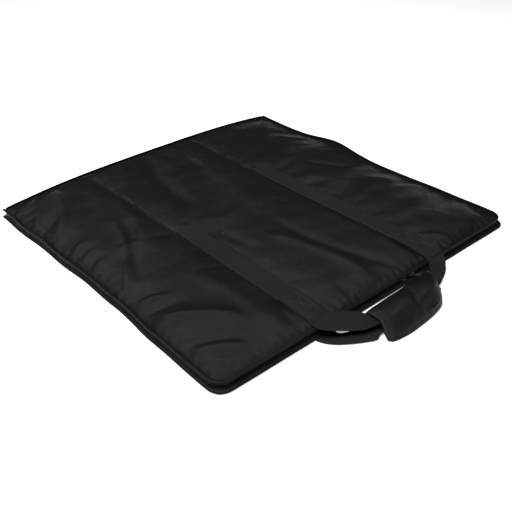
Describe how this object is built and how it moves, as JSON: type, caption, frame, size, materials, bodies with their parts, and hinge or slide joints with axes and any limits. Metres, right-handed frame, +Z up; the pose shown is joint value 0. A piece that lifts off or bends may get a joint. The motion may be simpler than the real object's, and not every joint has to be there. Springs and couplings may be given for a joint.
{
  "type": "portfolio case",
  "caption": "Square soft zip-up portfolio case of padded black nylon, lying flat, with piped edges, two webbing straps sewn to each face and two webbing handles in a padded wrap grip.",
  "frame": {"origin": "middle of the back face, on the surface that the case lies on", "axes": "+X along the opening edge, +Y from the opening edge with the handles towards the spine, +Z up through the case's thickness"},
  "size_m": [0.6106, 0.6935, 0.0246],
  "materials": {
    "nylon": "fine black woven nylon, soft satin sheen",
    "webbing": "black woven webbing, ribbed across, with stitched boxes",
    "piping": "black covered cord, slightly shiny",
    "zip_tape": "matt black woven tape",
    "zip_coil": "black nylon coil",
    "slider_metal": "black painted zinc, worn a little at the edges",
    "pull_tab": "black painted zinc, worn a little at the edges",
    "grip_fabric": "fine black nylon over foam, with a hem stitch",
    "hook_and_loop": "matt black hook and loop tape",
    "lining": "plain dark nylon lining",
    "foam": "matt dark foam"
  },
  "bodies": {
    "case_body": {"back_cover": "nylon", "back_foam": "foam", "back_lining": "lining", "spine_cover": "nylon", "side_gusset_near": "nylon", "side_gusset_far": "nylon", "front_cover_rear": "nylon", "front_foam_rear": "foam", "front_lining_rear": "lining", "lower_piping": "piping", "upper_piping_rear": "piping", "zip_tape_lower": "zip_tape", "zip_coil_lower": "zip_coil", "zip_end_tabs": "nylon", "strap_far_rear": "webbing", "strap_near_back": "webbing", "strap_far_back": "webbing"},
    "front_flap": {"front_cover_flap": "nylon", "front_foam_flap": "foam", "front_lining_flap": "lining", "upper_piping_flap": "piping", "zip_tape_upper": "zip_tape", "zip_coil_upper": "zip_coil", "strap_near_front": "webbing", "strap_far_front": "webbing"},
    "front_handle": {"front_handle_webbing": "webbing", "grip_top_cover": "grip_fabric", "grip_top_foam": "foam"},
    "grip_flap": {"grip_flap_cover": "grip_fabric", "grip_hook_strip": "hook_and_loop"},
    "back_handle": {"back_handle_webbing": "webbing", "grip_base_cover": "grip_fabric", "grip_base_foam": "foam", "grip_loop_strip": "hook_and_loop"},
    "slider_near": {"slider_near": "slider_metal"},
    "slider_far": {"slider_far": "slider_metal"},
    "pull_tab_near": {"pull_tab_near": "pull_tab"},
    "pull_tab_far": {"pull_tab_far": "pull_tab"}
  },
  "joints": [
    {"name": "case_opening", "type": "hinge", "parent": "case_body", "child": "front_flap", "pos_m": [0, 0.062, 0.0247], "axis": [-1, 0, 0], "range_deg": [0, 95]},
    {"name": "front_handle_swing", "type": "hinge", "parent": "front_flap", "child": "front_handle", "pos_m": [0, -0.3026, 0.0182], "axis": [-1, 0, 0], "range_deg": [0, 90]},
    {"name": "back_handle_swing", "type": "hinge", "parent": "case_body", "child": "back_handle", "pos_m": [0, -0.3026, 0.0182], "axis": [-1, 0, 0], "range_deg": [0, 90]},
    {"name": "grip_flap_opening", "type": "hinge", "parent": "front_handle", "child": "grip_flap", "pos_m": [0, -0.3879, 0.024], "axis": [-1, 0, 0], "range_deg": [0, 140]},
    {"name": "slider_near_slide", "type": "slide", "parent": "case_body", "child": "slider_near", "axis": [-1, 0, 0], "range_m": [0, 0.32]},
    {"name": "slider_far_slide", "type": "slide", "parent": "case_body", "child": "slider_far", "axis": [1, 0, 0], "range_m": [0, 0.21]},
    {"name": "pull_tab_near_swing", "type": "hinge", "parent": "slider_near", "child": "pull_tab_near", "pos_m": [0.046, -0.3085, 0.0089], "axis": [0, 0, 1], "range_deg": [-35, 90]},
    {"name": "pull_tab_far_swing", "type": "hinge", "parent": "slider_far", "child": "pull_tab_far", "pos_m": [0.064, -0.3085, 0.0089], "axis": [0, 0, -1], "range_deg": [-35, 90]}
  ],
  "couplings": [
    {"joint": "back_handle_swing", "follows": "front_handle_swing", "ratio": 1}
  ]
}
